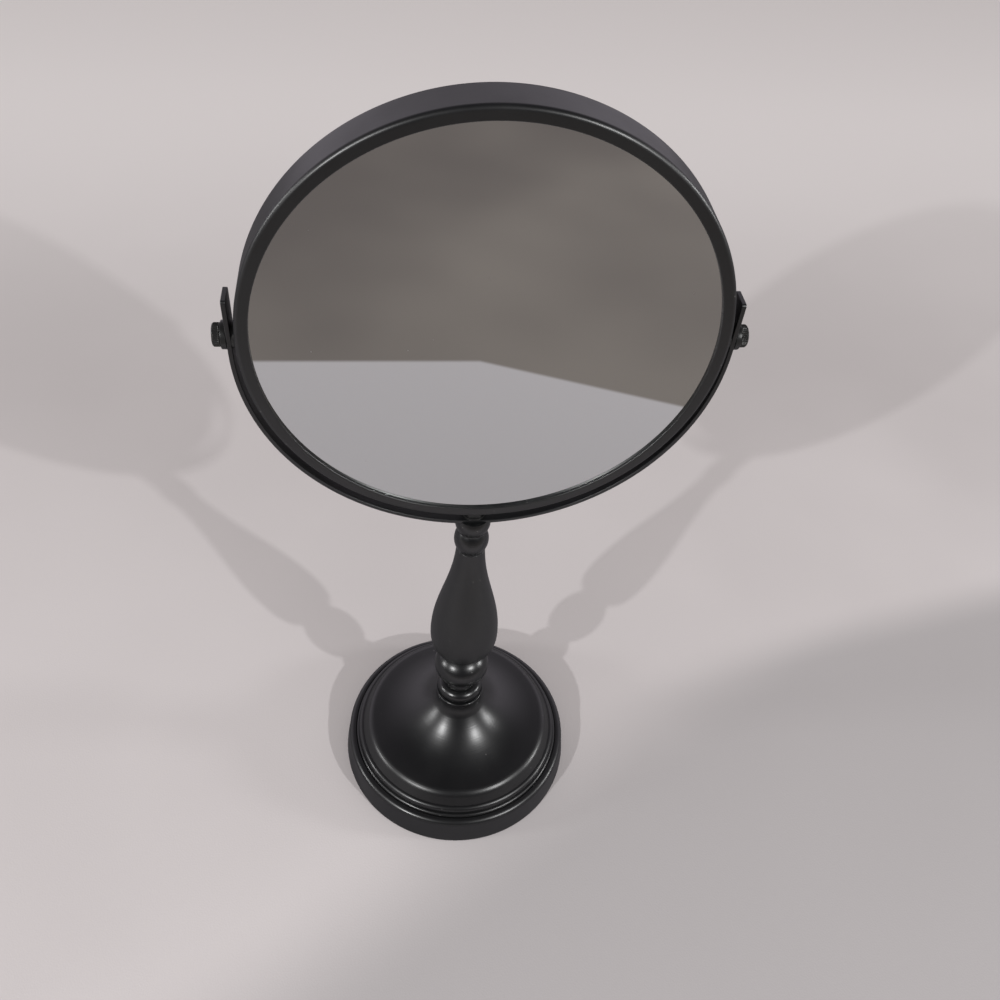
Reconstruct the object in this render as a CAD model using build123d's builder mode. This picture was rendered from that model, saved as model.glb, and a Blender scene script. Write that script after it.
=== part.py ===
from build123d import *
from math import atan2, cos, degrees, radians, sin, sqrt
import os

# Round two-sided vanity mirror on a turned pedestal. Millimetres, +Z up. The origin is the
# centre of the base where it meets the table, the tilt axis runs along X, and the flat
# glass faces -Y.

os.makedirs("parts", exist_ok=True)

# ---------------------------------------------------------------- driving dimensions
# Base
base_radius = 70.0  # foot of the skirt
base_wall = 1.2  # spun sheet
skirt_lean = 0.6  # how far the skirt leans in below its rim
rim_height = 18.6
rim_round = 5.2  # rounding from the skirt to the top of its rim
rim_inner_round = 1.4
rim_inner_turn = 70.0  # degrees, how far the rim turns down behind its top
groove_floor = 16.6  # bottom of the groove behind the rim
pad_thickness = 1.5
pad_show = 0.5  # how far the felt stands below the skirt
pad_inset = 2.4  # felt edge inside the skirt
lower_bead_radius = 1.7
lower_bead_inset = 9.5  # its centre inside the skirt's foot
upper_bead_radius = 2.8
upper_bead_inset = 2.6  # its centre inside the lower bead's
upper_bead_start = 40.0  # degrees below its middle, where it leaves the lower bead
ridge_inset = 1.9  # how far the riser leans in above the upper bead
riser_height = 5.4
ridge_round = 3.0
dome_slope = 8.0  # degrees
throat_radius = 12.8
throat_height = 61.5
throat_curve = 27.3  # radius of the hollow curve from throat to dome
plate_thickness = 0.8
weight_thickness = 5.8
weight_inset = 4.0  # weight's edge inside the skirt's outside
weight_chamfer = 1.0
hub_radius = 16.0
hub_taper = 2.0
hub_height = 9.0  # above the weight
nut_recess_radius = 12.5
nut_recess_depth = 6.2

# Column, from the throat up
lip_radius = 14.2
lip_thickness = 2.2
lip_round = 0.66
foot_bead_radius = 13.4
foot_bead_section = 4.3  # radius of the bead's outline
foot_bead_rise = 3.225  # its middle above the lip
foot_height = 15.2
groove_radius = 8.4  # the plain neck between beads
ball_radius = 15.8
ball_section = 11.8  # radius of the ball's outline, flatter than a sphere
ball_height = 27.6
ball_seat = 13.0  # ball's middle above its own foot
vase_rim_radius = 17.5
vase_rim_round = 2.0
vase_cove = 6.2  # hollow under the rim
vase_cove_height = 7.6
vase_belly_radius = 19.0
vase_belly_height = 9.6  # belly above the rim's underside
vase_top_radius = 7.4
vase_height = 90.2
vase_curve = ((0.247, 0.138), (0.537, 0.547), (0.781, 0.862))  # shares of height and of taper
waist_radius = 7.2
waist_height = 0.4
neck_bead_radius = 8.9
neck_bead_height = 12.8
neck_groove_radius = 7.0
neck_groove_height = 0.8
top_bead_radius = 8.9
top_bead_height = 9.3
top_face_radius = 8.2
saddle_depth = 0.8  # shoulders that keep the yoke from turning
spigot_radius = 5.2
spigot_length = 3.0

# Fasteners
rod_radius = 3.0
nut_flats = 10.0
bottom_nut_height = 5.0
top_nut_height = 3.2
washer_thickness = 1.2
top_washer_radius = 5.8
bottom_washer_radius = 9.0
rod_end = 0.7  # thread that shows past each nut
rod_chamfer = 0.42

# Yoke
strap_thickness = 2.0
strap_width = 11.0
strap_corner = 1.2
strap_edge_round = 0.35
arm_above_pivot = 19.5
yoke_sag = 5.6  # centre of the strap's curve below the tilt axis
ring_gap = 1.5  # drum to strap at the pivots

# Mirror head
ring_radius = 101.5
ring_depth = 18.6
ring_wall = 1.4
ring_round = 2.0
face_width = 5.7  # drum's side to the glass that shows
face_round = 0.5
glass_recess = 1.5
glass_thickness = 3.0
glass_play = 0.5  # front glass edge to the drum's wall
glass_chamfer = 0.4
back_curve = 700.0  # radius of the magnifying glass's hollow
bezel_round = 1.3
bezel_wall = 1.1
bezel_skirt = 3.5
card_thickness = 1.0
card_inset = 8.1  # card and spacer edge inside the drum's wall, clear of the pivot nuts
spacer_width = 8.0

# Pivots
screw_radius = 2.0
knob_radius = 4.9
knob_length = 3.4
knob_grooves = 24
knob_groove = 0.42
knob_bevel = 0.5
collar_radius = 5.9
collar_thickness = 2.4
collar_bevel = 0.4
bush_radius = 3.0
bush_flange_radius = 5.5
pivot_nut_flats = 7.0
pivot_nut_length = 5.0
screw_past_nut = 1.0

# Clearances
running = 0.05  # radial, shaft in its bearing
loose = 0.25  # radial, bolt in its hole
seat = 0.1  # between pieces that rest in each other
drum_clear = 0.3  # bush flange to the drum's side

# ---------------------------------------------------------------- places that follow
ledge_under = groove_floor - base_wall
weight_bottom = ledge_under - weight_thickness
weight_radius = base_radius - weight_inset
hub_top = ledge_under + hub_height
recess_top = weight_bottom + nut_recess_depth
rod_hole = rod_radius + loose

lip_top = throat_height + lip_thickness
foot_top = throat_height + foot_height
ball_middle = foot_top + ball_seat
ball_top = foot_top + ball_height
vase_rim = ball_top + vase_cove_height
vase_belly = vase_rim + vase_belly_height
vase_top = ball_top + vase_height
neck_bead = vase_top + waist_height
neck_groove = neck_bead + neck_bead_height
top_bead = neck_groove + neck_groove_height
yoke_bottom = top_bead + top_bead_height

yoke_inner = ring_radius + ring_gap
yoke_outer = yoke_inner + strap_thickness
arc_height = yoke_bottom + yoke_outer
pivot_height = arc_height + yoke_sag
arm_top = pivot_height + arm_above_pivot

face_radius = ring_radius - face_width
front = -ring_depth / 2
back = ring_depth / 2
glass_front = front + glass_recess
card_front = glass_front + glass_thickness
card_back = card_front + card_thickness
back_seat = back - glass_recess
drum_inner = ring_radius - ring_wall
card_radius = drum_inner - card_inset
bezel_outer = drum_inner - seat
back_glass_radius = bezel_outer - bezel_wall - seat
knob_start = yoke_outer + collar_thickness
nut_outer = drum_inner - seat
screw_tip = nut_outer - pivot_nut_length - screw_past_nut

glass_axis = Axis((0, 0, pivot_height), (0, 1, 0))
head_plane = Plane.XY.offset(pivot_height)  # local x is the distance from the glass's axis


def sag(radius, curve):
    """Depth, this far from its axis, of a sphere whose radius is curve."""
    return curve - sqrt(curve**2 - radius**2)


def chord(section, offset):
    """Half width of a circle of radius section, cut this far from its centre."""
    return sqrt(section**2 - offset**2)


def pivot_plane(side, distance):
    """Plane across the tilt axis, facing outwards, on the side -1 (left) or 1 (right)."""
    return Plane(
        origin=(side * distance, 0, pivot_height), x_dir=(0, side, 0), z_dir=(side, 0, 0)
    )


# ---------------------------------------------------------------- base
# One sheet, spun over a former: skirt with a rolled rim, two beads, riser, dome and throat.
lower_bead_center = base_radius - lower_bead_inset
lower_bead = groove_floor + lower_bead_radius
crevice = lower_bead + lower_bead_radius
upper_bead_center = lower_bead_center - upper_bead_inset
upper_bead = crevice + upper_bead_radius * sin(radians(upper_bead_start))
riser_foot = upper_bead + upper_bead_radius
ridge_side = upper_bead_center - ridge_inset
riser_lean = degrees(atan2(ridge_inset, riser_height))
ridge_turn = 90 - riser_lean - dome_slope
wall_across = base_wall * Vector(cos(radians(riser_lean)), sin(radians(riser_lean)))
with BuildPart() as base_shell:
    with BuildSketch(Plane.XZ):
        with BuildLine():
            skirt = Line((base_radius, pad_show), (base_radius - skirt_lean, rim_height - rim_round))
            rim = JernArc(start=skirt @ 1, tangent=(0, 1), radius=rim_round, arc_size=90)
            fold = JernArc(
                start=rim @ 1, tangent=(-1, 0), radius=rim_inner_round, arc_size=rim_inner_turn
            )
            flank = PolarLine(
                start=fold @ 1,
                direction=fold % 1,
                length=(fold @ 1).Y - groove_floor,
                length_mode=LengthMode.VERTICAL,
            )
            Line(flank @ 1, (lower_bead_center, groove_floor))
            ThreePointArc(
                (lower_bead_center, groove_floor),
                (lower_bead_center + lower_bead_radius, lower_bead),
                (lower_bead_center, crevice),
            )
            bead = CenterArc(
                center=(upper_bead_center, upper_bead),
                radius=upper_bead_radius,
                start_angle=-upper_bead_start,
                arc_size=90 + upper_bead_start,
            )
            Line((lower_bead_center, crevice), bead @ 0)
            riser = Line(bead @ 1, (ridge_side, riser_foot + riser_height))
            ridge = JernArc(
                start=riser @ 1, tangent=riser % 1, radius=ridge_round, arc_size=ridge_turn
            )
            throat = JernArc(
                start=(throat_radius, throat_height),
                tangent=(0, -1),
                radius=throat_curve,
                arc_size=90 - dome_slope,
            )
            Spline([ridge @ 1, throat @ 1], tangents=[ridge % 1, -(throat % 1)])
            Polyline(
                (throat_radius, throat_height),
                (rod_hole, throat_height),
                (rod_hole, pad_show),
                (base_radius, pad_show),
            )
        make_face()
        # The hollow inside follows the same line one sheet further in, but for the lower bead,
        # which is rolled solid.
        with BuildLine():
            skirt = Line(
                (base_radius - base_wall, pad_show),
                (base_radius - base_wall - skirt_lean, rim_height - rim_round),
            )
            rim = JernArc(
                start=skirt @ 1, tangent=(0, 1), radius=rim_round - base_wall, arc_size=90
            )
            bead = CenterArc(
                center=(upper_bead_center, upper_bead),
                radius=upper_bead_radius - base_wall,
                start_angle=-upper_bead_start,
                arc_size=90 + upper_bead_start,
            )
            Polyline(
                rim @ 1,
                ((rim @ 1).X, ledge_under),
                ((bead @ 0).X, ledge_under),
                bead @ 0,
            )
            riser = Line(
                Vector(upper_bead_center, riser_foot) - wall_across,
                Vector(ridge_side, riser_foot + riser_height) - wall_across,
            )
            Line(bead @ 1, riser @ 0)
            ridge = JernArc(
                start=riser @ 1,
                tangent=riser % 1,
                radius=ridge_round - base_wall,
                arc_size=ridge_turn,
            )
            throat = JernArc(
                start=(throat_radius - base_wall, throat_height - base_wall),
                tangent=(0, -1),
                radius=throat_curve,
                arc_size=90 - dome_slope,
            )
            Spline([ridge @ 1, throat @ 1], tangents=[ridge % 1, -(throat % 1)])
            Polyline(
                (throat_radius - base_wall, throat_height - base_wall),
                (rod_hole, throat_height - base_wall),
                (rod_hole, pad_show),
                (base_radius - base_wall, pad_show),
            )
        make_face(mode=Mode.SUBTRACT)
    revolve(axis=Axis.Z)
base_shell.part.label = "base_shell"
export_step(base_shell.part, "parts/base_shell.step")

# Iron disc under the ledge. Its hub stands up inside the dome and takes the nut from below.
with BuildPart() as base_weight:
    with BuildSketch(Plane.XZ):
        with BuildLine():
            Polyline(
                (rod_hole, recess_top),
                (nut_recess_radius, recess_top),
                (nut_recess_radius, weight_bottom),
                (weight_radius, weight_bottom),
                (weight_radius, ledge_under),
                (hub_radius, ledge_under),
                (hub_radius - hub_taper, hub_top),
                (rod_hole, hub_top),
                close=True,
            )
        make_face()
    revolve(axis=Axis.Z)
    rims = base_weight.edges().filter_by(GeomType.CIRCLE).group_by(SortBy.RADIUS)[-1]
    chamfer(rims.sort_by(Axis.Z)[0], length=weight_chamfer)
base_weight.part.label = "base_weight"
export_step(base_weight.part, "parts/base_weight.step")

# Sheet disc pushed into the skirt, with the felt glued under it.
with BuildPart() as base_plate:
    with BuildSketch(Plane.XY.offset(pad_thickness)):
        Circle(base_radius - base_wall - seat)
    extrude(amount=plate_thickness)
base_plate.part.label = "base_plate"
export_step(base_plate.part, "parts/base_plate.step")

with BuildPart() as base_pad:
    with BuildSketch():
        Circle(base_radius - pad_inset)
    extrude(amount=pad_thickness)
base_pad.part.label = "base_pad"
export_step(base_pad.part, "parts/base_pad.step")

# ---------------------------------------------------------------- turned column
# Each piece stands on the one below it, and a short spigot on it centres the next.
foot_core = foot_bead_radius - foot_bead_section
foot_bead = lip_top + foot_bead_rise
foot_bead_low = foot_core + chord(foot_bead_section, foot_bead_rise)
foot_bead_high = foot_bead + chord(foot_bead_section, foot_core - groove_radius)
with BuildPart() as foot_collar:
    with BuildSketch(Plane.XZ):
        with BuildLine():
            Polyline(
                (foot_bead_low, lip_top),
                (lip_radius, lip_top),
                (lip_radius, throat_height),
                (rod_hole, throat_height),
                (rod_hole, foot_top + spigot_length),
                (spigot_radius, foot_top + spigot_length),
                (spigot_radius, foot_top),
                (groove_radius, foot_top),
                (groove_radius, foot_bead_high),
            )
            ThreePointArc(
                (groove_radius, foot_bead_high),
                (foot_bead_radius, foot_bead),
                (foot_bead_low, lip_top),
            )
        make_face()
    revolve(axis=Axis.Z)
    rims = foot_collar.edges().filter_by(GeomType.CIRCLE).group_by(SortBy.RADIUS)[-1]
    fillet(rims, radius=lip_round)
foot_collar.part.label = "foot_collar"
export_step(foot_collar.part, "parts/foot_collar.step")

ball_core = ball_radius - ball_section
ball_half = chord(ball_section, groove_radius - ball_core)
with BuildPart() as ball_collar:
    with BuildSketch(Plane.XZ):
        with BuildLine():
            Polyline(
                (groove_radius, ball_middle - ball_half),
                (groove_radius, foot_top),
                (spigot_radius + seat, foot_top),
                (spigot_radius + seat, foot_top + spigot_length + seat),
                (rod_hole, foot_top + spigot_length + seat),
                (rod_hole, ball_top + spigot_length),
                (spigot_radius, ball_top + spigot_length),
                (spigot_radius, ball_top),
                (groove_radius, ball_top),
                (groove_radius, ball_middle + ball_half),
            )
            ThreePointArc(
                (groove_radius, ball_middle + ball_half),
                (ball_radius, ball_middle),
                (groove_radius, ball_middle - ball_half),
            )
        make_face()
    revolve(axis=Axis.Z)
ball_collar.part.label = "ball_collar"
export_step(ball_collar.part, "parts/ball_collar.step")

# The vase swells from a slim top to its belly, then turns in under a rounded rim.
taper = vase_belly_radius - vase_top_radius
swell = vase_top - vase_belly
with BuildPart() as column_vase:
    with BuildSketch(Plane.XZ):
        with BuildLine():
            Spline(
                [(vase_belly_radius, vase_belly)]
                + [
                    (vase_belly_radius - inward * taper, vase_belly + up * swell)
                    for up, inward in vase_curve
                ]
                + [(vase_top_radius, vase_top)],
                tangents=[(0, 1), (-0.05, 1)],
            )
            Polyline(
                (vase_top_radius, vase_top),
                (spigot_radius + seat, vase_top),
                (spigot_radius + seat, vase_top - spigot_length - seat),
                (rod_hole, vase_top - spigot_length - seat),
                (rod_hole, ball_top + spigot_length + seat),
                (spigot_radius + seat, ball_top + spigot_length + seat),
                (spigot_radius + seat, ball_top),
                (groove_radius, ball_top),
                (groove_radius, vase_rim - vase_cove),
            )
            cove = JernArc(
                start=(groove_radius, vase_rim - vase_cove),
                tangent=(0, 1),
                radius=vase_cove,
                arc_size=-90,
            )
            Line(cove @ 1, (vase_rim_radius, vase_rim))
            TangentArc(
                [(vase_belly_radius, vase_belly), (vase_rim_radius, vase_rim)],
                tangent=(0, -1),
            )
        make_face()
    revolve(axis=Axis.Z)
    rim_edges = column_vase.edges().filter_by(GeomType.CIRCLE)
    rim_edges = rim_edges.filter_by_position(Axis.Z, vase_rim - seat, vase_rim + seat)
    fillet(rim_edges.sort_by(SortBy.RADIUS)[-1], radius=vase_rim_round)
column_vase.part.label = "column_vase"
export_step(column_vase.part, "parts/column_vase.step")

# Waist and two beads. The top is cut to the strap's curve, between two low shoulders.
with BuildPart() as neck_collar:
    with BuildSketch(Plane.XZ):
        with BuildLine():
            Polyline(
                (waist_radius, neck_bead),
                (waist_radius, vase_top),
                (spigot_radius, vase_top),
                (spigot_radius, vase_top - spigot_length),
                (rod_hole, vase_top - spigot_length),
                (rod_hole, yoke_bottom + saddle_depth),
                (top_face_radius, yoke_bottom + saddle_depth),
            )
            ThreePointArc(
                (top_face_radius, yoke_bottom + saddle_depth),
                (top_bead_radius, (top_bead + yoke_bottom) / 2),
                (neck_groove_radius, top_bead),
            )
            Line((neck_groove_radius, top_bead), (neck_groove_radius, neck_groove))
            ThreePointArc(
                (neck_groove_radius, neck_groove),
                (neck_bead_radius, (neck_bead + neck_groove) / 2),
                (waist_radius, neck_bead),
            )
        make_face()
    revolve(axis=Axis.Z)
    with BuildSketch(Plane.XZ):
        with Locations((0, arc_height)):
            Circle(yoke_outer)
    extrude(amount=strap_width / 2 + seat, both=True, mode=Mode.SUBTRACT)
neck_collar.part.label = "neck_collar"
export_step(neck_collar.part, "parts/neck_collar.step")

# ---------------------------------------------------------------- rod and its nuts
bottom_nut_top = recess_top - washer_thickness
bottom_nut_foot = bottom_nut_top - bottom_nut_height
top_washer_foot = yoke_bottom + strap_thickness + sag(top_washer_radius, yoke_inner)
top_nut_foot = top_washer_foot + washer_thickness
rod_foot = bottom_nut_foot - rod_end
rod_top = top_nut_foot + top_nut_height + rod_end
with BuildPart() as tie_rod:
    with BuildSketch(Plane.XY.offset(rod_foot)):
        Circle(rod_radius)
    extrude(amount=rod_top - rod_foot)
    ends = tie_rod.edges().filter_by(GeomType.CIRCLE)
    chamfer(ends, length=rod_chamfer)
tie_rod.part.label = "tie_rod"
export_step(tie_rod.part, "parts/tie_rod.step")

for name, foot, radius in (
    ("bottom_washer", bottom_nut_top, bottom_washer_radius),
    ("top_washer", top_washer_foot, top_washer_radius),
):
    with BuildPart() as washer:
        with BuildSketch(Plane.XY.offset(foot)):
            Circle(radius)
            Circle(rod_hole, mode=Mode.SUBTRACT)
        extrude(amount=washer_thickness)
    washer.part.label = name
    export_step(washer.part, f"parts/{name}.step")

for name, foot, height in (
    ("bottom_nut", bottom_nut_foot, bottom_nut_height),
    ("top_nut", top_nut_foot, top_nut_height),
):
    with BuildPart() as rod_nut:
        with BuildSketch(Plane.XY.offset(foot)):
            RegularPolygon(nut_flats / 2, 6, major_radius=False)
            Circle(rod_radius + running, mode=Mode.SUBTRACT)
        extrude(amount=height)
    rod_nut.part.label = name
    export_step(rod_nut.part, f"parts/{name}.step")

# ---------------------------------------------------------------- yoke
# Flat strap, bent to a half circle that runs on into two straight arms.
with BuildPart() as yoke:
    with BuildSketch(Plane.XZ):
        with BuildLine():
            Polyline(
                (-yoke_inner, arc_height),
                (-yoke_inner, arm_top),
                (-yoke_outer, arm_top),
                (-yoke_outer, arc_height),
            )
            ThreePointArc(
                (-yoke_outer, arc_height),
                (0, arc_height - yoke_outer),
                (yoke_outer, arc_height),
            )
            Polyline(
                (yoke_outer, arc_height),
                (yoke_outer, arm_top),
                (yoke_inner, arm_top),
                (yoke_inner, arc_height),
            )
            ThreePointArc(
                (yoke_inner, arc_height),
                (0, arc_height - yoke_inner),
                (-yoke_inner, arc_height),
            )
        make_face()
    extrude(amount=strap_width / 2, both=True)
    ends = yoke.faces().group_by(Axis.Z)[-1].edges().filter_by(Axis.X)
    fillet(ends, radius=strap_corner)
    sides = yoke.faces().filter_by(Axis.Y)
    fillet(sides.edges(), radius=strap_edge_round)
    with BuildSketch(Plane.XY.offset(yoke_bottom)):
        Circle(rod_hole)
    extrude(amount=strap_thickness + sag(rod_hole, yoke_outer), mode=Mode.SUBTRACT)
    for side in (-1, 1):
        with BuildSketch(pivot_plane(side, yoke_inner)):
            Circle(bush_radius + running)
        extrude(amount=strap_thickness, mode=Mode.SUBTRACT)
yoke.part.label = "yoke"
export_step(yoke.part, "parts/yoke.step")

# ---------------------------------------------------------------- mirror head
# Drum with its front rim turned in over the glass.
with BuildPart() as mirror_hoop:
    with BuildSketch(head_plane):
        with BuildLine():
            Polyline(
                (face_radius, front),
                (ring_radius, front),
                (ring_radius, back_seat),
                (drum_inner, back_seat),
                (drum_inner, glass_front),
                (face_radius, glass_front),
                close=True,
            )
        make_face()
    revolve(axis=glass_axis)
    rims = mirror_hoop.edges().filter_by(GeomType.CIRCLE).group_by(Axis.Y)[0]
    fillet(rims.sort_by(SortBy.RADIUS)[-1], radius=ring_round)
    rims = mirror_hoop.edges().filter_by(GeomType.CIRCLE).group_by(Axis.Y)[0]
    fillet(rims.sort_by(SortBy.RADIUS)[0], radius=face_round)
    for side in (-1, 1):
        with BuildSketch(pivot_plane(side, drum_inner - seat)):
            Circle(screw_radius + loose)
        extrude(amount=ring_wall + 2 * seat, mode=Mode.SUBTRACT)
mirror_hoop.part.label = "mirror_hoop"
export_step(mirror_hoop.part, "parts/mirror_hoop.step")

# Back rim on a short skirt that pushes into the drum.
with BuildPart() as back_bezel:
    with BuildSketch(head_plane):
        with BuildLine():
            Polyline(
                (face_radius, back),
                (ring_radius, back),
                (ring_radius, back_seat),
                (bezel_outer, back_seat),
                (bezel_outer, back_seat - bezel_skirt),
                (bezel_outer - bezel_wall, back_seat - bezel_skirt),
                (bezel_outer - bezel_wall, back_seat),
                (face_radius, back_seat),
                close=True,
            )
        make_face()
    revolve(axis=glass_axis)
    rims = back_bezel.edges().filter_by(GeomType.CIRCLE).group_by(Axis.Y)[-1]
    fillet(rims.sort_by(SortBy.RADIUS)[-1], radius=bezel_round)
    rims = back_bezel.edges().filter_by(GeomType.CIRCLE).group_by(Axis.Y)[-1]
    fillet(rims.sort_by(SortBy.RADIUS)[0], radius=face_round)
back_bezel.part.label = "back_bezel"
export_step(back_bezel.part, "parts/back_bezel.step")

with BuildPart() as front_glass:
    with BuildSketch(head_plane):
        with Locations((0, glass_front)):
            Rectangle(
                drum_inner - glass_play, glass_thickness, align=(Align.MIN, Align.MIN)
            )
    revolve(axis=glass_axis)
    chamfer(front_glass.edges().filter_by(GeomType.CIRCLE), length=glass_chamfer)
front_glass.part.label = "front_glass"
export_step(front_glass.part, "parts/front_glass.step")

with BuildPart() as backing_card:
    with BuildSketch(head_plane):
        with Locations((0, card_front)):
            Rectangle(card_radius, card_thickness, align=(Align.MIN, Align.MIN))
    revolve(axis=glass_axis)
backing_card.part.label = "backing_card"
export_step(backing_card.part, "parts/backing_card.step")

# Sheet glass sagged over a sphere: hollow on the outside, its rim on the bezel's face.
hollow_middle = back_seat - sag(back_glass_radius, back_curve)
bulge_middle = hollow_middle - glass_thickness
bulge_curve = back_curve + glass_thickness
half_radius = back_glass_radius / 2
with BuildPart() as back_glass:
    with BuildSketch(head_plane):
        with BuildLine():
            ThreePointArc(
                (0, hollow_middle),
                (half_radius, hollow_middle + sag(half_radius, back_curve)),
                (back_glass_radius, back_seat),
            )
            bulge = ThreePointArc(
                (back_glass_radius, bulge_middle + sag(back_glass_radius, bulge_curve)),
                (half_radius, bulge_middle + sag(half_radius, bulge_curve)),
                (0, bulge_middle),
            )
            Line((back_glass_radius, back_seat), bulge @ 0)
            Line(bulge @ 1, (0, hollow_middle))
        make_face()
    revolve(axis=glass_axis)
back_glass.part.label = "back_glass"
export_step(back_glass.part, "parts/back_glass.step")

# Foam ring between the card and the sagged glass, cut to the bulge.
spacer_inner = card_radius - spacer_width
spacer_middle = card_radius - spacer_width / 2
with BuildPart() as spacer_ring:
    with BuildSketch(head_plane):
        with BuildLine():
            bulge = ThreePointArc(
                (card_radius, bulge_middle + sag(card_radius, bulge_curve)),
                (spacer_middle, bulge_middle + sag(spacer_middle, bulge_curve)),
                (spacer_inner, bulge_middle + sag(spacer_inner, bulge_curve)),
            )
            Polyline(bulge @ 1, (spacer_inner, card_back), (card_radius, card_back), bulge @ 0)
        make_face()
    revolve(axis=glass_axis)
spacer_ring.part.label = "spacer_ring"
export_step(spacer_ring.part, "parts/spacer_ring.step")

# ---------------------------------------------------------------- pivots, left and right
for side, hand in ((-1, "left"), (1, "right")):
    # Knurled head on a threaded shank that reaches through to the nut in the drum.
    with BuildPart() as thumbscrew:
        with BuildSketch(pivot_plane(side, knob_start)):
            Circle(knob_radius)
        extrude(amount=knob_length)
        rims = thumbscrew.edges().filter_by(GeomType.CIRCLE)
        chamfer(rims, length=knob_bevel)
        with BuildSketch(pivot_plane(side, knob_start)):
            with PolarLocations(knob_radius, knob_grooves):
                RegularPolygon(knob_groove, 4)
        extrude(amount=knob_length, mode=Mode.SUBTRACT)
        with BuildSketch(pivot_plane(side, screw_tip)):
            Circle(screw_radius)
        extrude(amount=knob_start - screw_tip)
    thumbscrew.part.label = f"{hand}_thumbscrew"
    export_step(thumbscrew.part, f"parts/{hand}_thumbscrew.step")

    with BuildPart() as collar:
        with BuildSketch(pivot_plane(side, yoke_outer)):
            Circle(collar_radius)
            Circle(screw_radius + loose, mode=Mode.SUBTRACT)
        extrude(amount=collar_thickness)
        rims = collar.edges().filter_by(GeomType.CIRCLE).group_by(SortBy.RADIUS)[-1]
        chamfer(rims, length=collar_bevel)
    collar.part.label = f"{hand}_collar"
    export_step(collar.part, f"parts/{hand}_collar.step")

    # Nylon bush: a flange inside the strap and a sleeve through its hole.
    with BuildPart() as bush:
        with BuildSketch(pivot_plane(side, ring_radius + drum_clear)):
            Circle(bush_flange_radius)
            Circle(screw_radius + running, mode=Mode.SUBTRACT)
        extrude(amount=ring_gap - drum_clear)
        with BuildSketch(pivot_plane(side, yoke_inner)):
            Circle(bush_radius)
            Circle(screw_radius + running, mode=Mode.SUBTRACT)
        extrude(amount=strap_thickness)
    bush.part.label = f"{hand}_bush"
    export_step(bush.part, f"parts/{hand}_bush.step")

    with BuildPart() as pivot_nut:
        with BuildSketch(pivot_plane(side, nut_outer - pivot_nut_length)):
            RegularPolygon(pivot_nut_flats / 2, 6, major_radius=False, rotation=30)
            Circle(screw_radius + running, mode=Mode.SUBTRACT)
        extrude(amount=pivot_nut_length)
    pivot_nut.part.label = f"{hand}_pivot_nut"
    export_step(pivot_nut.part, f"parts/{hand}_pivot_nut.step")

print("pivot height", pivot_height, "overall height", pivot_height + ring_radius)
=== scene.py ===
# %% [markdown]
# A dressing-table mirror in black-painted metal: a round drum with glass in both faces, hung
# between two knurled thumbscrews in a strap, on a turned column with a stepped round base.
# The CAD model comes in as a fixed frame. Its solids give every place and size, and this
# lesson dresses them: some get a better finish, and some are replaced by finer surfaces.

# %% Load the frame
from math import cos, pi, radians, sin

import bmesh
import bpy
import numpy as np
from mathutils import Matrix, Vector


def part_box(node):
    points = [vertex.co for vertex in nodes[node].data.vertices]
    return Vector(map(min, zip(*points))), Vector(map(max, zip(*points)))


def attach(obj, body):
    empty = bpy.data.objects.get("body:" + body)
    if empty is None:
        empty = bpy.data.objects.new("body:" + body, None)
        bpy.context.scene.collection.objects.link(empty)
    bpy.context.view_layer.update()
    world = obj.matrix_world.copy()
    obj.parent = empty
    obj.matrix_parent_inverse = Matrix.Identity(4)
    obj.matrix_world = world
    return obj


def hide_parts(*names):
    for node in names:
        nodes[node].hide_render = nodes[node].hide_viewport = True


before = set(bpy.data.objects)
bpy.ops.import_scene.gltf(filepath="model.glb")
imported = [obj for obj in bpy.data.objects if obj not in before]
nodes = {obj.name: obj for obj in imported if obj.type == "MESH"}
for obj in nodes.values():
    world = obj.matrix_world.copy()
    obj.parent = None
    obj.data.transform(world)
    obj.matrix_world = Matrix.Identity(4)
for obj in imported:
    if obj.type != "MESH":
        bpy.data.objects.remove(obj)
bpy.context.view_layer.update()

# %% [markdown]
# The photograph looks down on the mirror from above its top edge, from a little to its left,
# and the camera was rolled by a few degrees. A camera can be aimed with Euler angles, but
# three unit vectors are easier to check: which way is right, up and backwards. They become
# the columns of its matrix. The lamps are aimed in the same way further down.


# %% Camera
def add_object(name, data):
    """A new object made of this mesh, light or camera, linked to the scene."""
    thing = bpy.data.objects.new(name, data)
    bpy.context.scene.collection.objects.link(thing)
    return thing


def aim(thing, right, up, back, place):
    """Puts an object at place, with its own x, y and z axes along three unit vectors."""
    matrix = np.eye(4)
    matrix[:3, :3] = np.stack([right, up, back], axis=1)
    matrix[:3, 3] = place
    thing.matrix_world = Matrix(matrix.tolist())


stand_off = 0.3263  # metres from the column to the camera, along the ground
eye_height = 0.5728
bearing = radians(7.69)  # the camera stands this far round to the left of the glass
heading = radians(9.87)  # it looks this far to the right of straight back
pitch = radians(46.36)  # and this far down
roll = radians(-6.17)

forward = np.array([sin(heading) * cos(pitch), cos(heading) * cos(pitch), -sin(pitch)])
level = np.array([cos(heading), -sin(heading), 0.0])
below = np.cross(forward, level)
picture_right = cos(roll) * level + sin(roll) * below
picture_down = cos(roll) * below - sin(roll) * level
eye = np.array([-stand_off * sin(bearing), -stand_off * cos(bearing), eye_height])

camera = add_object("camera", bpy.data.cameras.new("camera"))
camera.data.lens = 34.94  # on the usual 36 mm sensor
aim(camera, picture_right, -picture_down, -forward, eye)
bpy.context.scene.camera = camera
bpy.context.scene.view_settings.view_transform = "Standard"
print("camera at", eye.round(3))

# %% [markdown]
# Every finish below is written as arithmetic on shader sockets. One small class does it: a
# Value holds an output socket, each sign adds a Math node, and any other node comes from
# its method `node`, which takes the node's settings and the values of its sockets.


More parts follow.
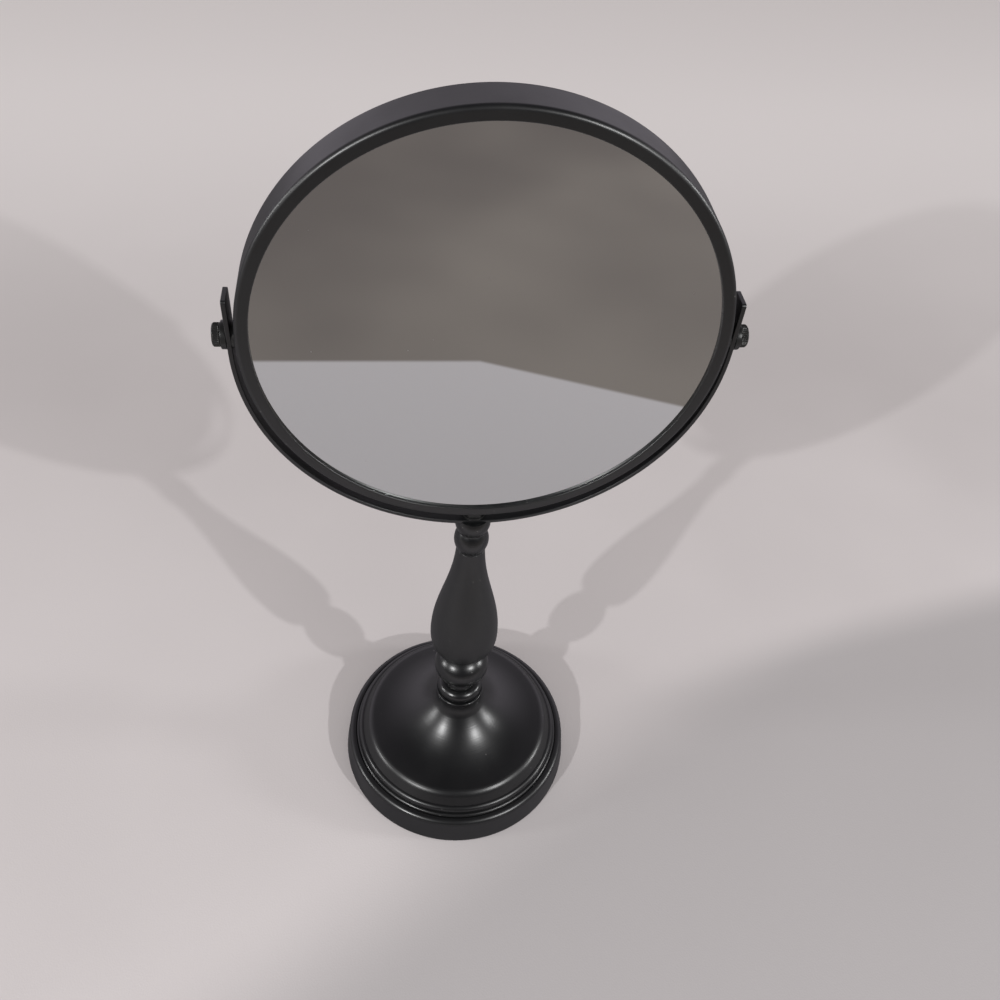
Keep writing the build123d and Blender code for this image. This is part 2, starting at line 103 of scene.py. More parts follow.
# %% Shader arithmetic
class Value:
    """A shader socket that + - * and / work on."""

    def __init__(self, tree, socket=None):
        self.tree, self.socket = tree, socket

    def node(self, kind, settings=None, inputs=None, output=0):
        """Adds a node, sets its settings, then sets or links its inputs by name or number."""
        made = self.tree.nodes.new("ShaderNode" + kind)
        for name, value in (settings or {}).items():
            setattr(made, name, value)
        for name, value in (inputs or {}).items():
            if isinstance(value, Value):
                self.tree.links.new(value.socket, made.inputs[name])
            else:
                made.inputs[name].default_value = value
        return Value(self.tree, made.outputs[output])

    def math(self, operation, a, b):
        """The result of one Math node for a and b, each a Value or a number."""
        return self.node("Math", {"operation": operation}, {0: a, 1: b})

    def __add__(self, other):
        return self.math("ADD", self, other)

    def __sub__(self, other):
        return self.math("SUBTRACT", self, other)

    def __rsub__(self, other):
        return self.math("SUBTRACT", other, self)

    def __mul__(self, other):
        return self.math("MULTIPLY", self, other)

    def __truediv__(self, other):
        return self.math("DIVIDE", self, other)

    __radd__, __rmul__ = __add__, __mul__

    def part(self, axis):
        """The "X", "Y" or "Z" of a vector."""
        return self.node("SeparateXYZ", {}, {0: self}, axis)

    def ramp(self, low, high):
        """0 below low, 1 above high, and a smooth step between."""
        settings = {"interpolation_type": "SMOOTHSTEP"}
        inputs = {"Value": self, "From Min": low, "From Max": high}
        return self.node("MapRange", settings, inputs)

    def mix(self, a, b):
        """Colour a where this value is 0, colour b where it is 1."""
        factor, first, second, result = 0, 6, 7, 2  # the Mix node's sockets for colours
        settings = {"data_type": "RGBA"}
        return self.node("Mix", settings, {factor: self, first: a, second: b}, result)


print("reflected operators:", [name for name in vars(Value) if name.startswith("__r")])

# %% [markdown]
# Each finish starts from Blender's Principled shader, which has a socket for every property
# that a surface can have: a number that is the same all over is set on its socket, and one
# that changes over the piece is linked to it.


# %% New finishes
def grey(level, warmth=0.0):
    """A grey: red is level x (1 + warmth), green is level, blue is level x (1 - warmth)."""
    return (level * (1 + warmth), level, level * (1 - warmth), 1.0)


def new_finish(name):
    """A material with one Principled shader: returns it, the shader and its start Value."""
    finish = bpy.data.materials.new(name)
    finish.use_nodes = True
    tree = finish.node_tree
    return finish, tree.nodes["Principled BSDF"], Value(tree)


def wire(shader, start, **inputs):
    """Sets or links inputs of a finish's main shader, spaces written as underscores."""
    for name, value in inputs.items():
        socket = shader.inputs[name.replace("_", " ")]
        if isinstance(value, Value):
            start.tree.links.new(value.socket, socket)
        else:
            socket.default_value = value


print("a warm grey is", grey(0.5, 0.1))

# %% [markdown]
# Three patterns come back in almost every finish: cloudy noise, dust and a fine relief. All
# of them read the object's own coordinates in metres, so a scale is a number of features in
# each metre, and the pattern stays on the piece when the piece moves.


# %% Patterns
def noise(place, per_metre, detail=2.0):
    """Cloudy noise from 0 to 1."""
    return place.node("TexNoise", {}, {"Vector": place, "Scale": per_metre, "Detail": detail})


def dust(place, per_metre, grain, patches, bare):
    """Grains of dust: (1 - a ramp of the distance to a Voronoi cell's middle) x a ramp of a
    broad noise, which is 0 below bare and keeps the grains to patches."""
    inputs = {"Vector": place, "Scale": per_metre, "Randomness": 1.0}
    cells = place.node("TexVoronoi", {}, inputs)
    return (1 - cells.ramp(*grain)) * noise(place, patches, 0.0).ramp(bare, 0.66)


def rings(place, spacing):
    """Noise of place / spacing alone, one number: tool marks this far apart, in metres."""
    settings = {"noise_dimensions": "1D"}
    return place.node("TexNoise", settings, {"W": place / spacing, "Scale": 1.0, "Detail": 1.0})


def relief(height, depth, strength):
    """Normal of a surface raised by height times depth, in metres."""
    inputs = {"Strength": strength, "Distance": depth, "Height": height}
    return height.node("Bump", {}, inputs)


print("patterns: noise, dust, rings and relief")

# %% [markdown]
# Black spray paint isn't one black. Under a lamp it shows a fine orange peel, it is a little
# duller where it was handled, and a few specks of dust settle on it. Turned and spun pieces
# also keep the faint rings of the tool under their paint. A plain dark colour would lose all
# of that, so one function mixes the four, and each piece gets its own strength of them.


# %% Black paint
ring_spacing, ring_strength = 0.0006, 0.35


def black_paint(name, level, roughness, peel=0.2, tool=None, worn=0.08):
    """Sprayed black, as rough as roughness + worn x handled patches + 0.4 x dust. level is
    its linear grey, peel the height of its orange peel, and tool, "height" or "radius",
    says what the rings under the paint follow."""
    finish, shader, start = new_finish(name)
    place = start.node("TexCoord", output="Object")
    speck = dust(place, 230.0, (0.04, 0.09), 70.0, 0.6)
    handled = noise(place, 34.0, 5.0).ramp(0.35, 0.8) * worn
    bumps = noise(place, 950.0) * peel + noise(place, 240.0) * peel
    if tool == "height":
        bumps = bumps + rings(place.part("Z"), ring_spacing) * ring_strength
    if tool == "radius":
        flat = place.node("VectorMath", {"operation": "MULTIPLY"}, {0: place, 1: (1, 1, 0)})
        radius = flat.node("VectorMath", {"operation": "LENGTH"}, {0: flat}, "Value")
        bumps = bumps + rings(radius, ring_spacing) * ring_strength
    colour = (speck * 0.5).mix(grey(level, -0.08), grey(0.2, 0.04))
    rough = handled + speck * 0.4 + roughness
    normal = relief(bumps, 0.00012, 0.5)
    wire(shader, start, Base_Color=colour, Roughness=rough, Normal=normal)
    wire(shader, start, Specular_IOR_Level=0.9)
    return finish


base_paint = black_paint("base_paint", 0.0035, 0.32, 0.16, "radius")
bead_paint = black_paint("bead_paint", 0.004, 0.27, 0.12, "height")
vase_paint = black_paint("vase_paint", 0.0045, 0.38, 0.3, "height", 0.12)
neck_paint = black_paint("neck_paint", 0.005, 0.27, 0.16, "height")
strap_paint = black_paint("strap_paint", 0.006, 0.33, 0.2, None, 0.14)
drum_paint = black_paint("drum_paint", 0.0045, 0.36, 0.2)
print("six blacks, from the glossy", bead_paint.name, "to the dull", vase_paint.name)

# %% [markdown]
# The small steel parts are blackened, not painted, so they are half metallic, and their
# highest points are rubbed bright. The knurled heads carry a number for how far each point
# stands out, named crest, and this finish reads it. That follows the knurl exactly, where a
# noise would rub the grooves too. The rod and its lower nut are plated with zinc.

# %% Blackened and zinc-plated steel
hardware, shader, start = new_finish("blackened_steel")
place = start.node("TexCoord", output="Object")
crest = start.node("Attribute", {"attribute_name": "crest"}, output="Fac")
rubbed = crest.ramp(0.75, 1.0) * noise(place, 500.0).ramp(0.35, 0.65) * 0.5
colour = rubbed.mix(grey(0.02), (0.22, 0.205, 0.19, 1))
rough = noise(place, 160.0, 4.0) * 0.16 + 0.24
normal = relief(noise(place, 1400.0), 0.0001, 0.3)
wire(shader, start, Base_Color=colour, Metallic=rubbed * 0.8 + 0.2, Roughness=rough)
wire(shader, start, Normal=normal)

zinc, shader, start = new_finish("zinc_plate")
place = start.node("TexCoord", output="Object")
stain = noise(place, 120.0, 5.0).ramp(0.35, 0.7)
colour = stain.mix((0.56, 0.56, 0.55, 1), (0.5, 0.47, 0.4, 1))
normal = relief(noise(place, 1800.0), 0.0001, 0.2)
wire(shader, start, Base_Color=colour, Metallic=1.0, Roughness=stain * 0.14 + 0.26)
wire(shader, start, Normal=normal)
print("steel:", hardware.name, "and", zinc.name)

# %% [markdown]
# Silvered glass is a mirror under a clean hard surface. A handful of dust grains and a
# faint smear are all that give it away, so only its roughness changes, and very little.


# %% Mirror glass
def silvered(name):
    """A mirror, as rough as 0.02 x a ramp of broad noise + 0.3 x dust."""
    finish, shader, start = new_finish(name)
    place = start.node("TexCoord", output="Object")
    grain = dust(place, 160.0, (0.03, 0.05), 45.0, 0.62)
    smear = noise(place, 14.0, 6.0).ramp(0.5, 0.8) * 0.02
    colour = (grain * 0.5).mix((0.80, 0.815, 0.81, 1), grey(0.5))
    wire(shader, start, Base_Color=colour, Metallic=1.0, Roughness=smear + grain * 0.3)
    return finish


front_mirror, back_mirror = silvered("front_mirror_glass"), silvered("back_mirror_glass")
print("mirrors:", front_mirror.name, "and", back_mirror.name)

# %% [markdown]
# What shows only from below, or in a loose piece: pressed felt, raw cast iron, black nylon,
# grey board and foam. Each is a grain at its own scale, in the colour and in the relief.


# %% Plain materials
def grained(name, dark, light, per_metre, depth, roughness):
    """Two colours mixed by a fine noise, which also lifts the surface by depth in metres."""
    finish, shader, start = new_finish(name)
    grain = noise(start.node("TexCoord", output="Object"), per_metre, 6.0)
    colour = grain.ramp(0.35, 0.65).mix(dark, light)
    rough = grain * 0.1 + roughness
    normal = relief(grain, depth, 0.8)
    wire(shader, start, Base_Color=colour, Roughness=rough, Normal=normal)
    return finish


felt = grained("felt", grey(0.018), grey(0.05), 900.0, 0.0004, 0.9)
iron = grained("cast_iron", grey(0.07, 0.1), grey(0.13, 0.08), 400.0, 0.0005, 0.6)
nylon = grained("black_nylon", grey(0.02), grey(0.028), 700.0, 0.00005, 0.4)
card = grained("grey_board", (0.36, 0.29, 0.21, 1), (0.47, 0.38, 0.28, 1), 300.0, 0.0001, 0.85)
foam = grained("foam", grey(0.03), grey(0.07), 1200.0, 0.0004, 0.9)
print("five plain materials, from", felt.name, "to", foam.name)

# %% [markdown]
# Every CAD node gets its finish, also the ones that a finer piece replaces below. The yoke,
# the neck collar, the flat glass and the washers stay as they are, because their solids
# already have the real shape.

# %% Finishes on the solids
nodes_of = {
    base_paint: ["base_shell"],
    bead_paint: ["foot_collar", "ball_collar"],
    vase_paint: ["column_vase"],
    neck_paint: ["neck_collar"],
    strap_paint: ["yoke"],
    drum_paint: ["mirror_hoop", "back_bezel"],
    front_mirror: ["front_glass"],
    back_mirror: ["back_glass"],
    hardware: [
        "top_washer",
        "top_nut",
        "left_collar",
        "right_collar",
        "left_thumbscrew",
        "right_thumbscrew",
    ],
    zinc: [
        "base_plate",
        "tie_rod",
        "bottom_washer",
        "bottom_nut",
        "left_pivot_nut",
        "right_pivot_nut",
    ],
    iron: ["base_weight"],
    felt: ["base_pad"],
    nylon: ["left_bush", "right_bush"],
    card: ["backing_card"],
    foam: ["spacer_ring"],
}
for finish, names in nodes_of.items():
    for name in names:
        nodes[name].data.materials.clear()
        nodes[name].data.materials.append(finish)
print(sum(map(len, nodes_of.values())), "nodes finished,", len(nodes_of), "finishes")

# %% [markdown]
# Almost every piece here is turned on a lathe or spun over a former, so it is one outline
# carried round an axis. An outline is a list of points: distance from the axis, and place
# along it, in mm. Real edges are never sharp, so a helper rounds each corner of an outline.

# %% Outlines
mm = 0.001


def soften(corners, steps=7):
    """Rounds the inner corners of an open outline. A corner is (distance, place, rounding) in
    mm. Its arc touches both sides rounding / tan(half the corner's angle) away from it."""
    table = np.array(corners, float)
    points, rounding = table[:, :2], table[1:-1, 2:]
    before, here, after = points[:-2] - points[1:-1], points[1:-1], points[2:] - points[1:-1]
    before /= np.linalg.norm(before, axis=1, keepdims=True)
    after /= np.linalg.norm(after, axis=1, keepdims=True)
    half = np.arccos(np.clip((before * after).sum(axis=1, keepdims=True), -1, 1)) / 2
    middle = here + (before + after) * rounding / np.sin(2 * half)
    first = here + before * rounding / np.tan(half) - middle
    last = here + after * rounding / np.tan(half) - middle
    share = np.linspace(0, 1, steps)[None, :, None]
    turn = (pi - 2 * half)[:, None]
    arcs = first[:, None] * np.sin((1 - share) * turn) + last[:, None] * np.sin(share * turn)
    arcs = middle[:, None] + arcs / np.sin(turn)
    return np.vstack([points[:1], arcs.reshape(-1, 2), points[-1:]])


def arc(middle, radius, start, stop, steps=28):
    """Part of a circle: middle + radius x (cosine, sine) of the angles from start to stop,
    in degrees from straight outwards."""
    angle = np.radians(np.linspace(start, stop, steps))
    return np.stack([middle[0] + radius * np.cos(angle), middle[1] + radius * np.sin(angle)], 1)


def straight(radius, places):
    """Points at one distance from the axis, at these places along it."""
    return np.stack([0 * places + radius, places], axis=1)


square = soften([(0, 0, 0), (1, 0, 0.1), (1, 1, 0.1), (0, 1, 0)])
print("a square with two soft corners has", len(square), "points")

# %% [markdown]
# A grid of points becomes a mesh in one step: each point joins its neighbours in the next row
# and column, and the last row and column join the first. Where an outline reaches its own
# axis, a whole row falls on one point, so near points are merged, and then the normals of the
# closed shape are turned outwards. Edges sharper than 40 degrees stay sharp in the shading.


# %% Grids to meshes
def surface(name, grid, finish, node, body, crest=None):
    """Closed mesh from points in metres, shape (rows, columns, 3), that wrap round both ways.
    It stands for a CAD node. crest is a number for each point, kept as an attribute."""
    rows, columns = grid.shape[:2]
    index = np.arange(rows * columns).reshape(rows, columns)
    index = np.vstack([index, index[:1]])
    index = np.hstack([index, index[:, :1]])
    quads = np.stack([index[:-1, :-1], index[:-1, 1:], index[1:, 1:], index[1:, :-1]], axis=-1)
    mesh = bpy.data.meshes.new(name)
    mesh.from_pydata(grid.reshape(-1, 3).tolist(), [], quads.reshape(-1, 4).tolist())
    if crest is not None:
        layer = mesh.attributes.new("crest", "FLOAT", "POINT")
        layer.data.foreach_set("value", np.asarray(crest, float).ravel())
    work = bmesh.new()
    work.from_mesh(mesh)
    bmesh.ops.remove_doubles(work, verts=work.verts, dist=1e-6)
    bmesh.ops.recalc_face_normals(work, faces=work.faces)
    work.to_mesh(mesh)
    work.free()
    mesh.polygons.foreach_set("use_smooth", [True] * len(mesh.polygons))
    mesh.set_sharp_from_angle(angle=radians(40))
    mesh.materials.append(finish)
    piece = add_object(name, mesh)
    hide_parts(node)
    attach(piece, body)
    print(name, len(mesh.polygons), "faces")
    return piece


def turned(outline, sides=192, axis="z", origin=(0, 0, 0), swell=None):
    """Grid of the outline (mm) carried round the axis z (up), y (back) or x through origin
    (metres): distance x (cosine, sine) of the turn, and the place along the axis.
    swell(turn, outline) adds to the distance."""
    turn = np.linspace(0, 2 * pi, sides, endpoint=False)[None, :]
    distance = outline[:, :1] + (swell(turn, outline) if swell else 0 * turn)
    along = outline[:, 1:] + 0 * turn
    across, up = distance * np.cos(turn), distance * np.sin(turn)
    order = {"z": (across, up, along), "y": (across, along, up), "x": (along, across, up)}[axis]
    return np.stack(order, axis=-1) * mm + origin


# %% [markdown]
# The base is one sheet of metal spun over a former. From the top: a throat that flares into
# a shallow cone, a ridge with a soft edge, a leaning riser, a broad bead, a thin bead, a
# groove, and a skirt with a rolled rim. Its foot is turned up inside as a hem. A lathe
# outline suits it better than a subdivided cage, because each highlight runs along one
# rounding, and that rounding has its own number. The inside follows a sheet further in.

# %% Top of the base
sheet = 1.2
rod_hole = 3.25
throat_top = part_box("foot_collar")[0][2] / mm
base_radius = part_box("base_shell")[1][0] / mm
throat_radius, cone_foot_height, cone_reach = 12.8, 31.7, 25.3
throat_round, cone_round = 14.0, 54.0
cone_slope, flare_slope = np.tan(radians(9)), np.tan(radians(48))
riser_foot, riser_lean = 24.6, 0.61  # the lean is mm outwards for each mm down
broad_bead, thin_bead = (59.2, 21.8), (61.9, 18.3)  # middles of their round edges


def riser_at(height, inset=0.0):
    """The leaning riser's distance from the axis: the bead's - height over its foot x lean."""
    return broad_bead[0] - inset - (height - riser_foot) * riser_lean


def shell_top(inset, ridge_round):
    """Outline from the rod's hole to the riser's foot, moved inwards by inset."""
    neck = throat_radius - inset
    cone_foot = cone_foot_height - inset
    ridge = riser_at(cone_foot, inset)
    flare = ridge - cone_reach
    cone_top = cone_foot + (ridge - flare) * cone_slope
    return soften(
        [
            (rod_hole, throat_top - inset, 0),
            (neck, throat_top - inset, 0.15),
            (neck, cone_top + (flare - neck) * flare_slope, throat_round),
            (flare, cone_top, cone_round),
            (ridge, cone_foot, ridge_round),
            (riser_at(riser_foot, inset), riser_foot, 0),
        ],
        24,
    )


print("throat's top and base radius:", round(throat_top, 2), round(base_radius, 2), "mm")

# %% [markdown]
# The two beads are arcs of circles. Under them the sheet dips into a narrow groove, comes
# out over the rolled rim and drops in a skirt that leans out a little. Inside, the outline
# goes back up under the rim, round the iron weight that fills the base, and along the cone.

# %% Beads and skirt
groove, rim_top, skirt_lean = 17.3, 18.6, 2.2
hem_foot, hem_round = 0.5, 0.55
weight_top, weight_edge = 15.4, 60.5

skirt_and_rim = [
    (63.3, groove, 0),
    (63.5, groove, 0.1),  # out of the groove under the thin bead
    (63.9, rim_top, 0.5),
    (base_radius - skirt_lean, rim_top, 3.4),  # the rolled rim
    (base_radius, hem_foot, hem_round),
    (base_radius - sheet, hem_foot, hem_round),
    (base_radius - sheet - 1.2, 11.0, 0),
]
inside_the_rim = [
    (base_radius - sheet - 1.45, 12.8, 0),
    (base_radius - sheet - 1.9, 17.4, 2.2),  # under the rolled rim
    (64.4, groove, 0.1),
    (64.4, weight_top, 0.1),
    (weight_edge, weight_top, 0.1),
    (weight_edge, 20.9, 0.1),  # into the broad bead
    (60.8, broad_bead[1], 0),
]
outline = np.vstack(
    [
        shell_top(0, 6.4),
        arc(broad_bead, 2.8, 90, -40),
        arc(thin_bead, 1.7, 90, -36),
        soften(skirt_and_rim, 18),
        soften(inside_the_rim),
        arc(broad_bead, 2.8 - sheet, 5, 85),
        shell_top(sheet, 5.2)[::-1],
    ]
)
surface("spun_base", turned(outline, 240), base_paint, "base_shell", "stand")

# %% [markdown]
# The foot collar and the ball are turned beads, each a circle's arc between narrow necks. A
# short spigot on each one centres the next, and the rod runs through them all. The necks and
# spigots are the same everywhere, so two small functions draw them.

# %% Collars of the column
neck, spigot, spigot_height, play = 8.4, 5.2, 3.0, 0.1
socket, socket_depth = spigot + play, spigot_height + play
foot_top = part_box("foot_collar")[1][2] / mm - spigot_height
ball_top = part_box("ball_collar")[1][2] / mm - spigot_height


def joint_above(top):
    """Corners of the neck's flat top with its spigot, at this height."""
    end = top + spigot_height
    return [(neck, top, 0.15), (spigot, top, 0.1), (spigot, end, 0.4), (rod_hole, end, 0)]


def socket_below(foot):
    """Corners of the flat foot with its socket, at this height."""
    end = foot + socket_depth
    return [(rod_hole, end, 0), (socket, end, 0.1), (socket, foot, 0.1), (neck, foot, 0.15)]


lip, lip_height = 14.2, 2.2
outline = np.vstack(
    [
        soften(
            [
                (rod_hole, throat_top, 0),
                (lip, throat_top, 0.66),
                (lip, throat_top + lip_height, 0.66),
                (12.1, throat_top + lip_height, 0),
            ]
        ),
        arc((9.1, throat_top + 5.425), 4.3, -46, 96, 40),
        soften([(neck, throat_top + 10.2, 0)] + joint_above(foot_top)),
    ]
)
surface("turned_foot", turned(outline), bead_paint, "foot_collar", "stand")

ball_middle = (4.0, foot_top + 13)
outline = np.vstack(
    [
        soften(socket_below(foot_top) + [(neck, foot_top + 2.0, 0)]),
        arc(ball_middle, 11.8, -67.5, 67.5, 60),
        soften([(neck, foot_top + 24.0, 0)] + joint_above(ball_top)),
    ]
)
surface("turned_ball", turned(outline), bead_paint, "ball_collar", "stand")

# %% [markdown]
# The vase is the long piece. Its side is one smooth curve of the height, so a polynomial
# suits it: the lowest one that passes through the belly, three places between and the slim
# top, upright at the belly and almost upright at the top. Below the belly the side turns in
# on a large circle to a rounded rim with a hollow under it.

# %% Vase
vase_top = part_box("column_vase")[1][2] / mm
belly_radius, slimmer, top_radius = 19.0, 11.6, 7.4
rim, belly = ball_top + 7.6, ball_top + 17.2
tall = vase_top - belly

heights = np.array([0, 0.247, 0.537, 0.781, 1])  # share of the way from belly to top
slimmed = np.array([0, 0.138, 0.547, 0.862, 1])  # share of the slimming at those heights
powers = np.arange(7)
rows = heights[:, None] ** powers
slopes = np.array([[0, 1, 0, 0, 0, 0, 0], powers])  # of the polynomial at 0 and at 1
top_slope = -0.05 * tall
wanted = [*(belly_radius - slimmer * slimmed), 0, top_slope]
shape = np.linalg.solve(np.vstack([rows, slopes]), wanted)
up = np.linspace(0, 1, 120)
side = np.stack([(up[:, None] ** powers) @ shape, belly + up * tall], axis=1)

fall, inwards = 9.6, 1.5  # the circle under the belly passes through this point
circle = (fall**2 + inwards**2) / (2 * inwards)
low = np.linspace(rim + 2.6, belly, 24)[:-1]
turned_in = belly_radius - circle + np.sqrt(circle**2 - (belly - low) ** 2)
turn_in = np.stack([turned_in, low], axis=1)

hollow_round = 6.2
mouth = [
    (*side[-2], 0),
    (top_radius, vase_top, 0.2),
    (socket, vase_top, 0.1),
    (socket, vase_top - socket_depth, 0.1),
    (rod_hole, vase_top - socket_depth, 0),
]
outline = np.vstack(
    [
        soften(socket_below(ball_top) + [(neck, rim - hollow_round, 0)]),
        arc((neck + hollow_round, rim - hollow_round), hollow_round, 175, 92),
        soften([(neck + 6.4, rim, 0), (17.5, rim, 2.0), (*turn_in[0], 0)], 16),
        turn_in[1:],
        side[:-1],
        soften(mouth)[1:],
    ]
)
surface("turned_vase", turned(outline), vase_paint, "column_vase", "stand")

# %% [markdown]
# The rod ends and screws have real threads. A thread is a ridge that climbs one pitch each
# turn: a triangle wave of (place along the axis / pitch - turn), cut inwards, and faded out
# at both ends. A hexagon is cut inwards too: each flat's distance from the axis is half the
# size across flats divided by the cosine of the angle from the flat's middle. Both could be
# cut with booleans, but a change of distance keeps the grid and its even shading.


# %% Threads and flats
def thread(first, last, pitch, depth):
    """A swell for turned(): -depth x a triangle wave of (place / pitch - turn), between two
    places along the axis, faded over 0.7 of the pitch at both."""

    def cut(turn, outline):
        along = outline[:, 1:]
        wave = np.abs(2 * ((along / pitch - turn / (2 * pi)) % 1) - 1)
        ends = np.clip(np.minimum(along - first, last - along) / (0.7 * pitch), 0, 1)
        return -depth * wave * ends

    return cut


def hexagon(flats):
    """A swell for turned(): cuts down to flats / 2 / cosine of the angle from the nearest
    flat's middle, which leaves six flats with a corner on the first axis."""

    def cut(turn, outline):
        reach = flats / 2 / np.cos(turn % (pi / 3) - pi / 6)
        return np.minimum(reach - outline[:, :1], 0)

    return cut


rod_radius, rod_pitch, thread_length = 3.0, 1.0, 12
rod_foot, rod_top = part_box("tie_rod")[0][2] / mm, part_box("tie_rod")[1][2] / mm
plain_low, plain_high = rod_foot + thread_length, rod_top - thread_length

rod_row = rod_pitch / 8  # eight rows of points for each turn of the thread
outline = np.vstack(
    [
        soften([(0, rod_foot, 0), (2.6, rod_foot, 0.1), (rod_radius, rod_foot + 0.45, 0)]),
        straight(rod_radius, np.arange(rod_foot + 0.5, plain_low, rod_row)),
        straight(rod_radius, np.arange(plain_high, rod_top - 0.5, rod_row)),
        soften([(rod_radius, rod_top - 0.45, 0), (2.6, rod_top, 0.1), (0, rod_top, 0)]),
    ]
)
low_cut = thread(rod_foot + 0.2, plain_low - 1, rod_pitch, 0.5)
high_cut = thread(plain_high + 1, rod_top - 0.2, rod_pitch, 0.5)
grid = turned(outline, 64, swell=lambda turn, line: low_cut(turn, line) + high_cut(turn, line))
surface("threaded_rod", grid, zinc, "tie_rod", "stand")

nut_bore, nut_face, nut_corner, nut_flats = 3.05, 4.85, 5.8, 10
for name, finish, slot in (
    ("top_nut", hardware, "black_hardware"),
    ("bottom_nut", zinc, "zinc_rod"),
):
    foot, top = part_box(name)[0][2] / mm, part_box(name)[1][2] / mm
    half_way = (foot + top) / 2
    outline = soften(
        [
            (nut_bore, half_way, 0),
            (nut_bore, foot, 0.05),
            (nut_face, foot, 0.1),
            (nut_corner, foot + 0.5, 0.05),
            (nut_corner, top - 0.5, 0.05),
            (nut_face, top, 0.1),
            (nut_bore, top, 0.05),
            (nut_bore, half_way + 0.1, 0),
        ]
    )
    grid = turned(outline, swell=hexagon(nut_flats))
    surface("hex_" + name, grid, finish, name, "stand")

# %% [markdown]
# Each thumbscrew is a knurled head on a threaded shank. The knurl is a row of straight
# grooves round the rim: the distance from the axis dips 36 times a turn. It fades at both
# bevels, and the same wave is stored on the points, so that the finish can rub its crests.
# Both screws are one outline, drawn along x on the right side, and turned over for the left.

# %% Thumbscrews and their collars
pivot_height = float(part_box("left_collar")[0][2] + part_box("left_collar")[1][2]) / 2
center = (0, 0, pivot_height)
shank_radius, screw_pitch = 2.0, 0.7
head_radius, head_inner, head_outer = 4.9, 107.4, 110.8
knurl_inner, knurl_outer, bevel = 107.9, 110.4, 0.25
groove_count, groove_depth = 36, 0.32
screw_cut = thread(94.3, 107.0, screw_pitch, 0.3)


def knurl(turn, outline):
    """Grooves: -depth x (0.5 - 0.5 cosine of (36 x turn)) ** 0.7, faded at both bevels."""
    along = outline[:, 1:]
    ends = np.clip(np.minimum(along - knurl_inner, knurl_outer - along) / bevel, 0, 1)
    return -groove_depth * (0.5 - 0.5 * np.cos(groove_count * turn)) ** 0.7 * ends


def worked(side):
    """Knurl and thread of one side's screw, for turned(). side is -1 for the left."""

    def cut(turn, outline):
        right_side = outline * (1, side)
        return knurl(turn, right_side) + screw_cut(turn, right_side)

    return cut


crown = [
    (0, 110.4, 0),
    (0.9, 110.78, 0.4),
    (4.4, head_outer, 0.3),
    (4.88, 110.32, 0.2),
    (head_radius, 110.2, 0),
]
under_head = [
    (head_radius, 108.0, 0),
    (4.88, 107.85, 0.2),
    (4.4, head_inner, 0.3),
    (shank_radius, head_inner, 0.1),
    (shank_radius, 107.2, 0),
]
screw = np.vstack(
    [
        soften(crown),
        straight(head_radius, np.linspace(110.1, 108.1, 9)),
        soften(under_head),
        straight(shank_radius, np.arange(107.1, 94.5, -screw_pitch / 8)),
        soften([(shank_radius, 94.4, 0), (1.7, 94.02, 0.1), (0, 94.0, 0)]),
    ]
)

screw_sides = 288
turns = np.linspace(0, 2 * pi, screw_sides, endpoint=False)[None, :]
crest = 1 + knurl(turns, screw) / groove_depth
crest = crest * (screw[:, :1] > head_radius - 0.1)

collar_bore, collar_radius, collar_inner, collar_outer = 2.25, 5.9, 105.02, 107.38
collar = soften(
    [
        (collar_bore, 106, 0),
        (collar_bore, collar_inner, 0.1),
        (collar_radius, collar_inner, 0.4),
        (collar_radius, collar_outer, 0.4),
        (collar_bore, collar_outer, 0.1),
        (collar_bore, 106.1, 0),
    ]
)

for side, hand in ((-1, "left"), (1, "right")):
    grid = turned(screw * (1, side), screw_sides, "x", center, worked(side))
    name, node = f"{hand}_knurled_screw", f"{hand}_thumbscrew"
    surface(name, grid, hardware, node, f"{hand}_knob", crest)
    grid = turned(collar * (1, side), 128, "x", center)
    name, node = f"{hand}_turned_collar", f"{hand}_collar"
    surface(name, grid, hardware, node, "stand")

# %% [markdown]
# The drum is a hoop with its front turned in over the flat glass, closed from behind by a
# bezel with a short skirt. A row of points beside each rounded edge keeps the flat parts
# flat in the shading. Two holes are drilled through the hoop for the screws: a hole doesn't
# fit a lathe grid, so here a cylinder is cut out of the mesh.


# %% Front of the drum
def drilled(piece, radius, reach):
    """Cuts a round hole along x through both sides of a piece, at the pivots' height."""
    drill = bpy.data.meshes.new("drill")
    work = bmesh.new()
    bmesh.ops.create_cone(
        work, cap_ends=True, segments=48, radius1=radius, radius2=radius, depth=2 * reach
    )
    work.transform(Matrix.Translation(center) @ Matrix.Rotation(pi / 2, 4, "Y"))
    work.to_mesh(drill)
    work.free()
    tool = add_object("drill", drill)
    cut = piece.modifiers.new("drill", "BOOLEAN")
    cut.object = tool
    view = bpy.context.evaluated_depsgraph_get()
    mesh = bpy.data.meshes.new_from_object(piece.evaluated_get(view))
    piece.modifiers.clear()
    piece.data = mesh
    bpy.data.objects.remove(tool)
    print(piece.name, "drilled:", len(mesh.polygons), "faces")


ring_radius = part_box("mirror_hoop")[1][0] / mm
front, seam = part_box("mirror_hoop")[0][1] / mm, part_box("mirror_hoop")[1][1] / mm
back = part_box("back_bezel")[1][1] / mm
face, wall = ring_radius - 5.7, ring_radius - 1.4  # radii of the opening and the inside
glass_front = front + 1.5
shank_hole = 2.25
drum_sides = 256

